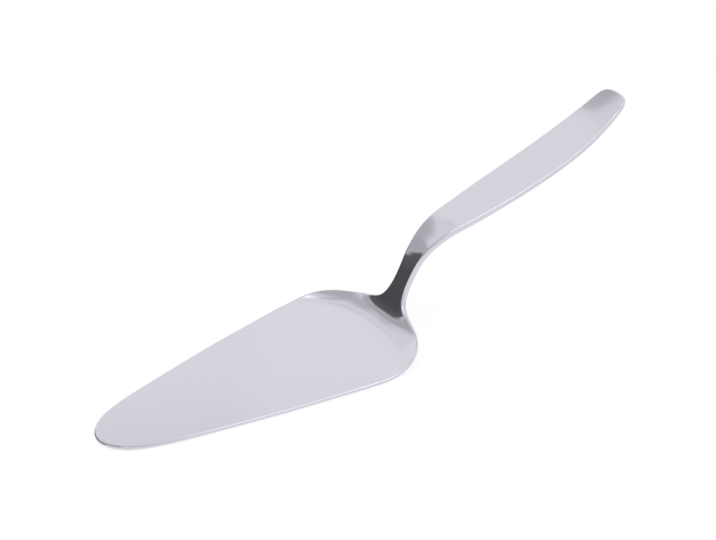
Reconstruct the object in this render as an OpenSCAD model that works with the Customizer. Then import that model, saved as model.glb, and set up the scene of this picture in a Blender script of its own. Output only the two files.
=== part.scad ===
// Cake server pressed from one piece of stainless steel: a flat blade with a round tip and a lip that curls up
// along its back edge, a narrow neck that stands up steeply from it, and a long handle that turns up at its end.
// The underside of the blade lies on z = 0, with the origin half-way along its flat. +X runs from the tip of the
// blade to the end of the handle.

/* [Blade] */
// Length of the metal from the round tip of the blade to the root of the neck
blade_length = 131; // [115:1:160]
// Width of the blade at its widest
blade_width = 62; // [50:1:75]
// Thickness of the blade
blade_thickness = 1.5; // [1:0.1:2.2]
// Length of metal behind the flat, where the middle of the blade turns up into the neck
heel_length = 16.5; // [15:0.5:20]
// Angle to which the lip turns up at the back corners of the blade, in degrees
lip_angle = 20; // [5:1:30]
// How much further forward the metal starts to turn up at the sides of the blade than in the middle
lip_sweep = 17; // [12:0.5:22]

/* [Neck] */
// Length of the metal in the neck
neck_length = 31.5; // [28:0.5:45]
// Width of the neck at its narrowest
neck_width = 7.8; // [6:0.2:11]
// Thickness of the neck
neck_thickness = 2.6; // [2:0.1:3.4]
// Angle between the blade and the neck, in degrees
neck_angle = 59.5; // [45:0.5:75]
// Length of metal over which the flat turns up, into the neck and into the lip beside it
foot_bend = 16.5; // [14:0.5:19]
// Length of the metal that bends over at the top of the neck, into the handle
shoulder_bend = 27.5; // [22:0.5:34]
// Angle to which the metal rises at its edges over the shoulder, in degrees
shoulder_dish = 5; // [0:0.5:8]

/* [Handle] */
// Length of the metal in the handle
handle_length = 91; // [75:1:120]
// Width of the handle at its widest
handle_width = 19.6; // [15:0.2:25]
// Thickness of the handle
handle_thickness = 2; // [1.6:0.1:3]
// Angle between the blade and the front of the handle, in degrees
handle_angle = 13.5; // [5:0.5:25]
// Angle that the end of the handle turns up beyond that, in degrees
handle_curl = 23.5; // [0:0.5:35]
// Angle to which the metal rises at its edges towards the end of the handle, in degrees
end_dish = 5; // [0:0.5:8]

/* [Smoothness] */
// Rows of facets between two neighbouring points of the outline
rows_per_span = 8; // [4:1:9]
// Strips of facets across the metal
strips = 12; // [8:2:14]
// Facets round each edge, from the underside to the top
edge_facets = 4; // [2:1:5]

/* [Hidden] */
steel = [0.8, 0.8, 0.83];

// The metal is drawn flat first. A point of the flat sheet has a station, its distance from the tip along the
// middle line, and a distance y from that line. The side view below then bends the sheet into shape.
neck_station = blade_length;
handle_station = neck_station + neck_length;
end_station = handle_station + handle_length;

// Points that pull the flat outline: the share of the length of each part, and the share of its half width
blade_outline_shares = [
    [0.04, 0.36], [0.16, 0.52], [0.285, 0.63], [0.485, 0.815],
    [0.615, 0.895], [0.77, 1.02], [0.87, 0.985], [0.96, 0.575]
];
neck_outline_shares = [[-0.06, 1.245], [0.295, 0.905], [0.65, 1.18]];
handle_outline_shares = [
    [-0.02, 0.725], [0.19, 0.89], [0.38, 1], [0.7, 1.015], [0.89, 0.8], [0.995, 0.685]
];

function pulls(shares, start, length, width) = [
    for (s = shares) [start + s.x * length, s.y * width / 2]
];

side_pulls = concat(
    pulls(blade_outline_shares, 0, blade_length, blade_width),
    pulls(neck_outline_shares, neck_station, neck_length, neck_width),
    pulls(handle_outline_shares, handle_station, handle_length, handle_width)
);
first_pull = side_pulls[0];
last_pull = side_pulls[len(side_pulls) - 1];

// The two ends are mirrored over the middle line, so the curve runs square across it at the tip and at the end
outline_pulls = concat(
    [[first_pull.x, -first_pull.y], [-first_pull.x / 2, 0]],
    side_pulls,
    [[end_station + (end_station - last_pull.x) / 2, 0], [last_pull.x, -last_pull.y]]
);

// Uniform cubic B-spline and its direction, t running from 0 to 1 along the span that starts at pull i
function spline(i, t) = (
    pow(1 - t, 3) * outline_pulls[i]
    + (3 * pow(t, 3) - 6 * pow(t, 2) + 4) * outline_pulls[i + 1]
    + (-3 * pow(t, 3) + 3 * pow(t, 2) + 3 * t + 1) * outline_pulls[i + 2]
    + pow(t, 3) * outline_pulls[i + 3]
) / 6;
function heading(i, t) = (
    -pow(1 - t, 2) * outline_pulls[i]
    + (3 * pow(t, 2) - 4 * t) * outline_pulls[i + 1]
    + (-3 * pow(t, 2) + 2 * t + 1) * outline_pulls[i + 2]
    + pow(t, 2) * outline_pulls[i + 3]
) / 2;

// Rows of points lie square across the sheet. The blade, the neck and the handle meet at whole rows.
neck_row = rows_per_span * (len(blade_outline_shares) + 1);
handle_row = neck_row + rows_per_span * len(neck_outline_shares);
end_row = rows_per_span * (len(outline_pulls) - 3);

function span(row) = min(floor(row / rows_per_span), len(outline_pulls) - 4);
function along(row) = row / rows_per_span - span(row);
function rim(row) = spline(span(row), along(row));

// Direction in which the rim of the flat sheet faces. It is turned square to the middle line where parts meet.
function squareness(row) = min(1, abs(row - neck_row) / rows_per_span, abs(row - handle_row) / rows_per_span);
function outward(row) = let (
    h = heading(span(row), along(row)),
    n = [-h.y * squareness(row), h.x]
) n / norm(n);

// Smooth ramp from 0 to 1
function ramp(t) = let (u = min(max(t, 0), 1)) u * u * (3 - 2 * u);

// Side view: the angle of the metal at a station, from a bend up at the foot of the neck, a bend over at the
// shoulder that runs on into the handle, and a curl that gathers towards the end of the handle
shoulder_overrun_share = 0.23;
curl_power = 3.25;
foot_station = blade_length - heel_length;
shoulder_end = handle_station + shoulder_overrun_share * shoulder_bend;
shoulder_station = shoulder_end - shoulder_bend;

function lean(station) =
    neck_angle * ramp((station - foot_station) / foot_bend)
    - (neck_angle - handle_angle) * ramp((station - shoulder_station) / shoulder_bend)
    + handle_curl * pow(max(0, (station - shoulder_end) / (end_station - shoulder_end)), curl_power);

// The underside of the middle line, added up in short steps. The origin lies half-way along the flat.
path_steps = 600;
path_step = end_station / path_steps;
path = [
    for (
        i = 0, p = [-foot_station / 2, 0];
        i <= path_steps + 1;
        p = p + path_step * [cos(lean((i + 0.5) * path_step)), sin(lean((i + 0.5) * path_step))], i = i + 1
    ) p
];
function path_at(station) = let (
    steps = station / path_step,
    i = min(floor(steps), path_steps)
) path[i] + (steps - i) * (path[i + 1] - path[i]);

// The metal thickens from the blade into the neck, and thins again along the front of the handle
thickening_share = 0.18;
thinning_share = 0.55;
thickening = thickening_share * blade_length;
thinning = thinning_share * handle_length;

function thickness(station) =
    blade_thickness
    + (neck_thickness - blade_thickness) * ramp((station - neck_station + thickening) / thickening)
    + (handle_thickness - neck_thickness) * ramp((station - handle_station) / thinning);

// Heel: beside the neck the metal turns up as a lip, less steeply than in the middle, and from a line that sweeps
// forward towards the sides. The share runs from 0 in the neck's width to 1 at the side of the blade.
root_share = 0.25;
root_length = root_share * neck_length;
lip_flank_share = 0.65;

function beside(station, y) =
    max(0, abs(y) - neck_width / 2) / (blade_width / 2 - neck_width / 2)
    * (1 - ramp((station - neck_station) / root_length));
function heel_start(share) = foot_station - lip_sweep * share * share;
function heel_lean(station, share) =
    (neck_angle - (neck_angle - lip_angle) * ramp(share / lip_flank_share))
    * ramp((station - heel_start(share)) / foot_bend);

// The underside of the heel at such a share, added up in short steps from where the flat ends
heel_steps = 12;
each_step = [for (i = [1:heel_steps]) 1];
function heel_at(station, share) = let (
    start = heel_start(share),
    step = max(0, station - start) / heel_steps,
    angles = [for (i = [1:heel_steps]) heel_lean(start + (i - 0.5) * step, share)]
) [
    min(station, start) + step * ([for (a = angles) cos(a)] * each_step),
    step * ([for (a = angles) sin(a)] * each_step)
];

// A point of the flat sheet, at a height above its underside, bent into shape
function bent(station, y, height) = let (
    share = beside(station, y),
    p = path_at(station) + (share > 0 ? heel_at(station, share) - heel_at(station, 0) : [0, 0]),
    angle = lean(station) + heel_lean(station, share) - heel_lean(station, 0)
) [p.x - sin(angle) * height, y, p.y + cos(angle) * height];

// Dish: where the strip bends over the shoulder, and where it curls up towards its end, its edges rise a little
dish_start_share = 0.3;
dish_fade_share = 0.15;
end_dish_share = 0.4;
dish_start = dish_start_share * neck_length;
dish_fade = dish_fade_share * handle_length;
end_dish_length = end_dish_share * handle_length;

function dish(station) =
    shoulder_dish
        * ramp((station - neck_station - dish_start) / dish_start)
        * (1 - ramp((station - handle_station) / dish_fade))
    + end_dish * ramp((station - end_station + end_dish_length) / end_dish_length);

// The edges are rolled round: a facet of the edge lies this far in from the rim, as a share of the thickness
edge_depth_share = 0.45;

// Loop of points round the metal at a row: up the near edge, across the top, down the far edge and back
// across the underside
function loop(row) = let (
    r = rim(row),
    n = outward(row),
    t = thickness(r.x),
    depth = edge_depth_share * t,
    inner = r - depth * n,
    rise = tan(dish(r.x)) / (2 * max(r.y, depth)),
    edge = [
        for (k = [0:edge_facets]) let (
            turn = 180 * k / edge_facets - 90,
            p = r - depth * (1 - cos(turn)) * n
        ) [p.x, p.y, rise * p.y * p.y + t * (1 + sin(turn)) / 2]
    ],
    across = [for (c = [1:strips - 1]) inner.y * (2 * c / strips - 1)]
) concat(
    [for (k = [0:edge_facets]) bent(edge[k].x, -edge[k].y, edge[k].z)],
    [for (y = across) bent(inner.x, y, rise * y * y + t)],
    [for (k = [edge_facets:-1:0]) bent(edge[k].x, edge[k].y, edge[k].z)],
    [for (y = across) bent(inner.x, -y, rise * y * y)]
);
loop_size = 2 * (edge_facets + strips);
far_top = edge_facets + strips;
far_bottom = far_top + edge_facets;

// At the tip and at the end of the handle the loop closes up on the middle line, where its far side is its near
// side and its top and underside are one point each
function closed_spot(j) =
    j <= edge_facets ? j
    : j < far_top ? edge_facets
    : j <= far_bottom ? far_bottom - j
    : 0;
function spot(row, first, j) =
    (row - first) * loop_size + (row == 0 || row == end_row ? closed_spot(j % loop_size) : j % loop_size);

// Skin between two rows, its diagonals mirrored over the middle line, without the triangles that closed up
function skin(first, last) = [
    for (row = [first:last - 1], j = [0:loop_size - 1]) let (
        a = spot(row, first, j),
        b = spot(row + 1, first, j),
        c = spot(row + 1, first, j + 1),
        d = spot(row, first, j + 1),
        far = j >= edge_facets + strips / 2 && j < far_bottom + strips / 2
    ) each [
        for (f = far ? [[a, d, b], [b, d, c]] : [[a, c, b], [a, d, c]])
            if (f[0] != f[1] && f[1] != f[2] && f[0] != f[2]) f
    ]
];

// Flat end across the metal, where the next part meets it
function end_face(row, first) = concat(
    [for (k = [1:edge_facets - 1]) [spot(row, first, 0), spot(row, first, k), spot(row, first, k + 1)]],
    [
        for (c = [0:strips - 1]) each let (
            bottom = spot(row, first, loop_size - c),
            next_bottom = spot(row, first, loop_size - c - 1),
            top = spot(row, first, edge_facets + c),
            next_top = spot(row, first, edge_facets + c + 1)
        ) [[bottom, top, next_top], [bottom, next_top, next_bottom]]
    ],
    [
        for (k = [0:edge_facets - 2])
            [spot(row, first, far_bottom), spot(row, first, far_top + k), spot(row, first, far_top + k + 1)]
    ]
);
function turned(faces) = [for (f = faces) [f[0], f[2], f[1]]];

// Stretch of the bent metal between two rows
module metal(first, last) {
    polyhedron(
        points = [for (row = [first:last]) each loop(row)],
        faces = concat(
            skin(first, last),
            first == 0 ? [] : turned(end_face(first, first)),
            last == end_row ? [] : end_face(last, first)
        )
    );
}

// Space above the table that the blade stands on, which makes its underside one true plane
module above_table() {
    translate([-blade_length, -blade_width, 0]) cube([2 * blade_length, 2 * blade_width, blade_length]);
}

module blade() {
    color(steel) intersection() {
        metal(0, neck_row);
        above_table();
    }
}

module neck() {
    color(steel) metal(neck_row, handle_row);
}

module handle() {
    color(steel) metal(handle_row, end_row);
}

blade();
neck();
handle();
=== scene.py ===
import bisect
import math

import bmesh
import bpy
from mathutils import Matrix, Vector


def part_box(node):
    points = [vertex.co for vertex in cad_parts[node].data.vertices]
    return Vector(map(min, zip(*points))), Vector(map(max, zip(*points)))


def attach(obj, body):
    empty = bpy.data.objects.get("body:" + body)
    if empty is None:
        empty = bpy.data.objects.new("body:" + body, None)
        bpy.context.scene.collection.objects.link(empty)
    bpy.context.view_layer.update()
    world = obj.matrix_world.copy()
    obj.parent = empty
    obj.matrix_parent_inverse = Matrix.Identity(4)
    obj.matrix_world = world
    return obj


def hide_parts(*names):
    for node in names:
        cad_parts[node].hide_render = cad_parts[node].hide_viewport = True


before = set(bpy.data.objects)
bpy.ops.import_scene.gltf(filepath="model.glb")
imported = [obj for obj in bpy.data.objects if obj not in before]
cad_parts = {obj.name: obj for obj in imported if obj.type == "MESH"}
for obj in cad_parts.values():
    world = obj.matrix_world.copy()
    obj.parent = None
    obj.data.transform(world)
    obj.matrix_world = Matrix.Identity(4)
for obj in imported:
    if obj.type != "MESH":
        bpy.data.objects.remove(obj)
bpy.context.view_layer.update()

# Camera: it looks down on the server from its near side and from beyond the tip of its blade, as in the
# photograph, so that the blade points to the lower left and the handle to the upper right.
mm = 0.001
picture_width_px = 716
camera_focal_px = 2200
camera_turn = math.radians(-36.9)
camera_height = math.radians(32.29)
camera_distance = 746.4 * mm
camera_aim_across = 88.17 * mm
camera_aim_up = 58.82 * mm
camera_nearest = 10 * mm
sensor_width_mm = 36
tip_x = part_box("blade")[0].x


def photograph_camera():
    back = Vector((
        math.sin(camera_turn) * math.cos(camera_height),
        -math.cos(camera_turn) * math.cos(camera_height),
        math.sin(camera_height),
    ))
    right = Vector((math.cos(camera_turn), math.sin(camera_turn), 0))
    up = back.cross(right)
    camera = bpy.data.objects.new("camera", bpy.data.cameras.new("camera"))
    camera.data.sensor_width = sensor_width_mm
    camera.data.lens = sensor_width_mm * camera_focal_px / picture_width_px
    camera.data.clip_start = camera_nearest
    tip = Vector((tip_x, 0, 0))
    place = tip + camera_aim_across * right + camera_aim_up * up + camera_distance * back
    camera.matrix_world = Matrix.Translation(place) @ Matrix((right, up, back)).transposed().to_4x4()
    bpy.context.collection.objects.link(camera)
    return camera


bpy.context.scene.camera = photograph_camera()

# Blank: the server is one piece of stainless steel sheet, cut to a flat outline and rolled thicker where
# the neck will be. A point of it has a station, its distance from the tip along the middle line, and a
# distance across from that line.
blade_length = 131 * mm
blade_width = 62 * mm
neck_length = 31.5 * mm
neck_width = 7.8 * mm
handle_length = 91 * mm
handle_width = 19.6 * mm
blade_thickness = 1.5 * mm
neck_thickness = 2.6 * mm
handle_thickness = 2 * mm
thickening_share = 0.18
thinning_share = 0.55
thickening = thickening_share * blade_length
thinning = thinning_share * handle_length
neck_station = blade_length
handle_station = neck_station + neck_length
end_station = handle_station + handle_length

# Points that pull the flat outline: the share of the length of each part, and the share of its half width
blade_outline_shares = [
    (0.04, 0.36), (0.16, 0.52), (0.285, 0.63), (0.485, 0.815),
    (0.615, 0.895), (0.77, 1.02), (0.87, 0.985), (0.96, 0.575),
]
neck_outline_shares = [(-0.06, 1.245), (0.295, 0.905), (0.65, 1.18)]
handle_outline_shares = [(-0.02, 0.725), (0.19, 0.89), (0.38, 1), (0.7, 1.015), (0.89, 0.8), (0.995, 0.685)]
points_per_span = 20


def pulls(shares, start, length, width):
    return [Vector((start + along * length, across * width / 2)) for along, across in shares]


def outline_pulls():
    """Both ends are mirrored over the middle line, so that the curve runs square across it there."""
    side = (
        pulls(blade_outline_shares, 0, blade_length, blade_width)
        + pulls(neck_outline_shares, neck_station, neck_length, neck_width)
        + pulls(handle_outline_shares, handle_station, handle_length, handle_width)
    )
    first, last = side[0], side[-1]
    start = [Vector((first.x, -first.y)), Vector((-first.x / 2, 0))]
    end = [Vector((end_station + (end_station - last.x) / 2, 0)), Vector((last.x, -last.y))]
    return start + side + end


outline = outline_pulls()
outline_points = points_per_span * (len(outline) - 3)


def outline_at(step):
    """Point of the outline's far side, on a cubic spline from the tip, at step 0, to the handle's end."""
    span = min(step // points_per_span, len(outline) - 4)
    t = step / points_per_span - span
    a, b, c, d = outline[span:span + 4]
    return (
        (1 - t) ** 3 * a
        + (3 * t**3 - 6 * t**2 + 4) * b
        + (-3 * t**3 + 3 * t**2 + 3 * t + 1) * c
        + t**3 * d
    ) / 6


def ramp(t):
    """Smooth ramp from 0 to 1."""
    u = min(max(t, 0), 1)
    return u * u * (3 - 2 * u)


def thickness(station):
    return (
        blade_thickness
        + (neck_thickness - blade_thickness) * ramp((station - neck_station + thickening) / thickening)
        + (handle_thickness - neck_thickness) * ramp((station - handle_station) / thinning)
    )


def cut_blank():
    """The flat sheet, still as thick everywhere as the blade."""
    bm = bmesh.new()
    bmesh.ops.create_circle(bm, cap_ends=True, radius=1, segments=2 * outline_points)
    for i, v in enumerate(bm.verts):
        step = i if i <= outline_points else 2 * outline_points - i
        p = outline_at(step)
        v.co = (p.x, p.y if i <= outline_points else -p.y, 0)
    top = bmesh.ops.extrude_face_region(bm, geom=bm.faces[:])["geom"]
    for v in top:
        if isinstance(v, bmesh.types.BMVert):
            v.co.z = blade_thickness
    bmesh.ops.recalc_face_normals(bm, faces=bm.faces[:])
    return bm


# Edges: the cut edges of the blank are ground and polished round on both sides. A narrow band beside each
# round keeps the faces of the sheet flat right up to it.
edge_round = 0.7 * mm
edge_segments = 6
edge_band = 0.3 * mm
upright_normal = 0.9
small_face_corners = 4


def flat_sides(bm):
    """The top and the underside of the sheet, each one large face."""
    return [f for f in bm.faces if abs(f.normal.z) > upright_normal and len(f.verts) > small_face_corners]


def round_edges(bm):
    sides = flat_sides(bm)
    rims = [e for e in bm.edges if any(f in sides for f in e.link_faces)]
    bmesh.ops.bevel(
        bm, geom=rims, offset=edge_round, offset_type="OFFSET", segments=edge_segments,
        profile=0.5, affect="EDGES", material=-1, clamp_overlap=True,
    )
    bmesh.ops.inset_region(bm, faces=flat_sides(bm), thickness=edge_band, use_even_offset=True)


# Strips: the top and the underside of the sheet are divided square across, from each point of the near edge
# to its fellow on the far edge, and then along, so that the sheet can bend smoothly.
strips_across = 40
off_middle_line = 0.0001 * mm


def divide_sides(bm):
    for side in flat_sides(bm):
        far = sorted((v for v in side.verts if v.co.y > off_middle_line), key=lambda v: v.co.x)
        near = sorted((v for v in side.verts if v.co.y < -off_middle_line), key=lambda v: v.co.x)
        across = []
        for a, b in zip(near, far):
            across += bmesh.ops.connect_verts(bm, verts=[a, b])["edges"]
        bmesh.ops.subdivide_edges(bm, edges=across, cuts=strips_across - 1)


# Bending: the blank is pressed to shape. The neck bends up from the blade and over into the handle, the
# handle curls up at its end, and a lip curls up along the back edge of the blade.
heel_length = 16.5 * mm
foot_bend = 16.5 * mm
shoulder_bend = 27.5 * mm
neck_angle = math.radians(59.5)
handle_angle = math.radians(13.5)
handle_curl = math.radians(23.5)
curl_power = 3.25
shoulder_overrun_share = 0.23
foot_station = blade_length - heel_length
shoulder_end = handle_station + shoulder_overrun_share * shoulder_bend
shoulder_station = shoulder_end - shoulder_bend


def lean(station):
    """Angle of the metal along the middle line."""
    curl = max(0, (station - shoulder_end) / (end_station - shoulder_end))
    return (
        neck_angle * ramp((station - foot_station) / foot_bend)
        - (neck_angle - handle_angle) * ramp((station - shoulder_station) / shoulder_bend)
        + handle_curl * curl**curl_power
    )


# The underside of the middle line in side view, added up in short steps
path_step = 0.25 * mm
path = [Vector((tip_x, 0))]
while len(path) * path_step < end_station + 2 * path_step:
    angle = lean((len(path) - 0.5) * path_step)
    path.append(path[-1] + path_step * Vector((math.cos(angle), math.sin(angle))))


def path_at(station):
    steps = max(0, station / path_step)
    i = int(steps)
    return path[i].lerp(path[i + 1], steps - i)


# Beside the neck the metal turns up as a lip, less steeply than in the middle, and from a line that sweeps
# forward
lip_angle = math.radians(20)
lip_sweep = 17 * mm
lip_flank_share = 0.65
root_share = 0.25
root_length = root_share * neck_length
heel_steps = 24


def beside(station, y):
    """How far out a point of the heel lies: 0 in the width of the neck, 1 at the side of the blade."""
    share = max(0, abs(y) - neck_width / 2) / (blade_width / 2 - neck_width / 2)
    return share * (1 - ramp((station - neck_station) / root_length))


def heel_start(share):
    return foot_station - lip_sweep * share**2


def heel_lean(station, share):
    angle = neck_angle - (neck_angle - lip_angle) * ramp(share / lip_flank_share)
    return angle * ramp((station - heel_start(share)) / foot_bend)


def heel_at(station, share):
    """Underside of the heel in side view, added up in short steps from where the flat ends."""
    start = heel_start(share)
    step = max(0, station - start) / heel_steps
    point = Vector((min(station, start), 0))
    for i in range(heel_steps):
        angle = heel_lean(start + (i + 0.5) * step, share)
        point += step * Vector((math.cos(angle), math.sin(angle)))
    return point


# Over the shoulder and towards the end of the handle the edges rise a little
shoulder_dish = math.radians(5)
end_dish = math.radians(5)
dish_start_share = 0.3
dish_fade_share = 0.15
end_dish_share = 0.4
dish_start = dish_start_share * neck_length
dish_fade = dish_fade_share * handle_length
end_dish_length = end_dish_share * handle_length
narrowest_half = 1 * mm
rim_points = [outline_at(step) for step in range(outline_points + 1)]


def dish(station):
    """Angle to which the metal rises at its edges."""
    rise = ramp((station - neck_station - dish_start) / dish_start)
    shoulder = rise * (1 - ramp((station - handle_station) / dish_fade))
    end = ramp((station - end_station + end_dish_length) / end_dish_length)
    return shoulder_dish * shoulder + end_dish * end


def half_width(station):
    i = max(1, min(bisect.bisect(rim_points, station, key=lambda p: p.x), outline_points))
    a, b = rim_points[i - 1], rim_points[i]
    return max(a.y + (b.y - a.y) * (station - a.x) / (b.x - a.x), narrowest_half)


def bend(bm):
    """Thicken and shape the sheet. Each point keeps its flat place as an attribute, for the streaks."""
    flat_place = bm.verts.layers.float_vector.new("flat_place")
    for v in bm.verts:
        v[flat_place] = v.co
        station, y, height = v.co
        height *= thickness(station) / blade_thickness
        height += math.tan(dish(station)) * y * y / (2 * half_width(station))
        share = beside(station, y)
        p = path_at(station)
        angle = lean(station)
        if station > heel_start(share):
            p = p + heel_at(station, share) - heel_at(station, 0)
            angle += heel_lean(station, share) - heel_lean(station, 0)
        v.co = (p.x - math.sin(angle) * height, y, p.y + math.cos(angle) * height)


def make_piece(name, bm):
    bmesh.ops.recalc_face_normals(bm, faces=bm.faces[:])
    for f in bm.faces:
        f.smooth = True
    mesh = bpy.data.meshes.new(name)
    bm.to_mesh(mesh)
    bm.free()
    piece = bpy.data.objects.new(name, mesh)
    bpy.context.collection.objects.link(piece)
    return piece


blank = cut_blank()
round_edges(blank)
divide_sides(blank)
bend(blank)
server = make_piece("pressed_server", blank)
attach(server, "root")
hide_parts("blade", "neck", "handle")


# Steel: the whole piece is polished bright. The buffing wheel ran along the metal, so its faint streaks
# follow the bends, and they are drawn on the place that each point had in the flat sheet.
darker_steel = (0.655, 0.648, 0.716, 1)
lighter_steel = (0.665, 0.656, 0.720, 1)
tone_length = 45 * mm
tone_width = 15 * mm
streak_length = 30 * mm
streak_width = 1.2 * mm
streak_detail = 3
streak_low = 0.3
streak_high = 0.7
brightest_polish = 0.08
dullest_polish = 0.12
hairline_length = 12 * mm
hairline_width = 0.5 * mm
hairline_depth = 0.001 * mm


def link(tree, a, b):
    tree.links.new(a, b)


def streaks(tree, length, width):
    """Noise that is drawn out along the metal."""
    place = tree.nodes.new("ShaderNodeAttribute")
    place.attribute_name = "flat_place"
    stretch = tree.nodes.new("ShaderNodeMapping")
    stretch.inputs["Scale"].default_value = (1 / length, 1 / width, 1 / width)
    noise = tree.nodes.new("ShaderNodeTexNoise")
    noise.inputs["Scale"].default_value = 1
    noise.inputs["Detail"].default_value = streak_detail
    link(tree, place.outputs["Vector"], stretch.inputs["Vector"])
    link(tree, stretch.outputs["Vector"], noise.inputs["Vector"])
    return noise.outputs[0]


def polished_steel():
    material = bpy.data.materials.new("polished_steel")
    material.use_nodes = True
    tree = material.node_tree
    shader = tree.nodes["Principled BSDF"]
    shader.inputs["Metallic"].default_value = 1
    tone = tree.nodes.new("ShaderNodeMix")
    tone.data_type = "RGBA"
    tone.inputs["A"].default_value = darker_steel
    tone.inputs["B"].default_value = lighter_steel
    link(tree, streaks(tree, tone_length, tone_width), tone.inputs["Factor"])
    link(tree, tone.outputs["Result"], shader.inputs["Base Color"])
    rough = tree.nodes.new("ShaderNodeMapRange")
    rough.inputs["From Min"].default_value = streak_low
    rough.inputs["From Max"].default_value = streak_high
    rough.inputs["To Min"].default_value = brightest_polish
    rough.inputs["To Max"].default_value = dullest_polish
    link(tree, streaks(tree, streak_length, streak_width), rough.inputs["Value"])
    link(tree, rough.outputs["Result"], shader.inputs["Roughness"])
    hairlines = tree.nodes.new("ShaderNodeBump")
    hairlines.inputs["Distance"].default_value = hairline_depth
    link(tree, streaks(tree, hairline_length, hairline_width), hairlines.inputs["Height"])
    link(tree, hairlines.outputs["Normal"], shader.inputs["Normal"])
    return material


server.data.materials.append(polished_steel())


# Studio: the server stands on a round white table in a white room that is evenly lit from all sides. Table
# and room are white where they are seen, and light the server at a plain level.
table_radius = 250 * mm
table_facets = 96
table_drop = 0.05 * mm
plain_table_paint = (0.8, 0.8, 0.8, 1)
seen_table_paint = (0.2, 0.2, 0.2, 1)
seen_table_glow = 0.82
white = (1, 1, 1, 1)
room_light = 1
seen_room_white = 1


def add_stage(name, bm, material):
    mesh = bpy.data.meshes.new(name)
    bm.to_mesh(mesh)
    bm.free()
    mesh.materials.append(material)
    piece = bpy.data.objects.new(name, mesh)
    bpy.context.collection.objects.link(piece)
    return piece


def white_where_seen(tree, plain, seen_white):
    """White to the camera, to polish and through glass, and the plain shade to the rest of the light."""
    rays = tree.nodes.new("ShaderNodeLightPath")
    seen = tree.nodes.new("ShaderNodeMath")
    seen.operation = "MAXIMUM"
    clear = tree.nodes.new("ShaderNodeMath")
    clear.operation = "MAXIMUM"
    mix = tree.nodes.new("ShaderNodeMixShader")
    link(tree, rays.outputs["Is Camera Ray"], seen.inputs[0])
    link(tree, rays.outputs["Is Glossy Ray"], seen.inputs[1])
    link(tree, seen.outputs[0], clear.inputs[0])
    link(tree, rays.outputs["Is Transmission Ray"], clear.inputs[1])
    link(tree, clear.outputs[0], mix.inputs[0])
    link(tree, plain, mix.inputs[1])
    link(tree, seen_white, mix.inputs[2])
    return mix.outputs[0]


def table_white():
    """Plain paint, which glows where it is seen, with enough paint left to show the server's shadow."""
    material = bpy.data.materials.new("white_table")
    material.use_nodes = True
    tree = material.node_tree
    tree.nodes.clear()
    out = tree.nodes.new("ShaderNodeOutputMaterial")
    paint = tree.nodes.new("ShaderNodeBsdfDiffuse")
    paint.inputs["Color"].default_value = plain_table_paint
    pale = tree.nodes.new("ShaderNodeBsdfDiffuse")
    pale.inputs["Color"].default_value = seen_table_paint
    glow = tree.nodes.new("ShaderNodeEmission")
    glow.inputs["Strength"].default_value = seen_table_glow
    lit = tree.nodes.new("ShaderNodeAddShader")
    link(tree, pale.outputs[0], lit.inputs[0])
    link(tree, glow.outputs[0], lit.inputs[1])
    link(tree, white_where_seen(tree, paint.outputs[0], lit.outputs[0]), out.inputs[0])
    return material


def lay_table():
    bm = bmesh.new()
    bmesh.ops.create_circle(bm, cap_ends=True, radius=table_radius, segments=table_facets)
    bmesh.ops.translate(bm, verts=bm.verts[:], vec=(0, 0, -table_drop))
    add_stage("table", bm, table_white())


def white_room():
    world = bpy.data.worlds.new("white_room")
    bpy.context.scene.world = world
    world.use_nodes = True
    tree = world.node_tree
    tree.nodes.clear()
    out = tree.nodes.new("ShaderNodeOutputWorld")
    light = tree.nodes.new("ShaderNodeBackground")
    light.inputs["Color"].default_value = white
    light.inputs["Strength"].default_value = room_light
    seen = tree.nodes.new("ShaderNodeBackground")
    seen.inputs["Color"].default_value = white
    seen.inputs["Strength"].default_value = seen_room_white
    link(tree, white_where_seen(tree, light.outputs[0], seen.outputs[0]), out.inputs[0])


lay_table()
white_room()
bpy.context.scene.view_settings.view_transform = "Standard"

# Tent: a round tent about the table glows with painted reflections, seen only in the polish of the steel,
# and it lights nothing. Parts of it are painted greyer, the left side is painted dark as a dark room would
# look, and painted highlights high up at the back and at the right stand in for lamps.
tent_radius = 450 * mm
tent_facets_round = 360
tent_facets_high = 180
# Glow of the tent where no panel lies: a painted reflection of white
bare_painted_reflection = 1
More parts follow.
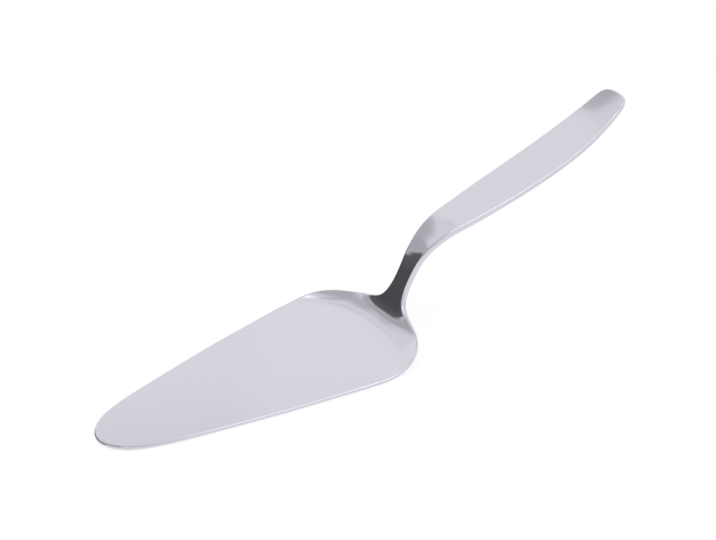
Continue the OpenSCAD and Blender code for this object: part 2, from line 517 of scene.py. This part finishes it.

# Painted reflection panels: brightness, turn and height of the middle, half of the size along and up, tilt,
# and softness along and up, all in degrees but the first. Turn 0 lies beyond the end of the handle.
painted_reflection_panels = [
    # Painted reflection at the back, and greyer painted reflection overhead and to the left of it
    (1.03, (47, 31), (8, 3.5), 0, (4, 3)),
    (0.92, (110, 60), (55, 23), 0, (3, 2.5)),
    (0.8, (56.5, 43), (3, 0.8), 34, (1.5, 1.2)),
    (0.6, (109, 70.5), (41.5, 25), -9, (3, 4)),
    (0.66, (63, 56), (5.5, 4), 0, (2.5, 1.5)),
    (0.55, (127, 42), (24, 9), 0, (5, 5)),
    # Painted highlight at the back, in place of a lamp
    (1.6, (54, 63), (2.5, 8), 0, (2.5, 3)),
    # Painted reflection on the near side and behind the camera
    (0.92, (-58, 20), (45, 30), 0, (8, 6)),
    (0.75, (-112, 46), (24, 26), 0, (6, 4)),
    # Painted highlights at the right, in place of lamps
    (2.1, (-28, 58), (9, 5), 0, (2.5, 2)),
    (1.9, (-65, 58), (15, 8), 0, (4, 3)),
    (2.3, (-54, 49), (7, 6.5), 0, (2, 2)),
    # Painted dark reflection at the left, in place of a dark room, with a grey painted reflection above it
    (0.4, (178, 50.5), (27, 19.5), 0, (5, 1.5)),
    (0.125, (134, 16), (38, 14), 0, (4, 1.5)),
    (0.125, (120, 25), (10, 8.5), 0, (5, 1.5)),
    (0.09, (139, 9), (38, 8), 0, (8, 6)),
    (0.1, (197, -8), (35, 14), 0, (6, 4)),
]


def within(value, half, soft):
    """1 inside a panel and 0 outside it, with a soft border."""
    return ramp((half + soft - abs(value)) / (2 * soft))


def painted_reflection_at(direction):
    """Brightness of the painted reflection in a direction. Each panel covers the ones before it."""
    turn = math.degrees(math.atan2(direction.y, direction.x))
    height = math.degrees(math.asin(direction.z))
    light = bare_painted_reflection
    for brightness, middle, half_size, tilt, softness in painted_reflection_panels:
        offset = Vector(((turn - middle[0] + 180) % 360 - 180, height - middle[1]))
        offset.rotate(Matrix.Rotation(-math.radians(tilt), 2))
        along = within(offset.x, half_size[0], softness[0])
        up = within(offset.y, half_size[1], softness[1])
        light += (brightness - light) * along * up
    return light


# The glow of the painted reflections, read at each point of the tent from its light attribute
def painted_reflection_glow():
    material = bpy.data.materials.new("painted_reflection_glow")
    material.use_nodes = True
    tree = material.node_tree
    tree.nodes.clear()
    out = tree.nodes.new("ShaderNodeOutputMaterial")
    glow = tree.nodes.new("ShaderNodeEmission")
    light = tree.nodes.new("ShaderNodeAttribute")
    light.attribute_name = "light"
    link(tree, light.outputs["Fac"], glow.inputs["Strength"])
    link(tree, glow.outputs[0], out.inputs[0])
    return material


def put_up_painted_reflection_tent():
    bm = bmesh.new()
    bmesh.ops.create_uvsphere(
        bm, u_segments=tent_facets_round, v_segments=tent_facets_high, radius=tent_radius,
    )
    light = bm.verts.layers.float.new("light")
    for v in bm.verts:
        v[light] = painted_reflection_at(v.co.normalized())
    painted_reflection_tent = add_stage("painted_reflection_tent", bm, painted_reflection_glow())
    # Hidden from the camera, from diffuse light and from shadows, the glowing tent shows only as painted
    # reflections
    painted_reflection_tent.visible_camera = False
    painted_reflection_tent.visible_diffuse = False
    painted_reflection_tent.visible_shadow = False
    painted_reflection_tent.visible_transmission = False


put_up_painted_reflection_tent()
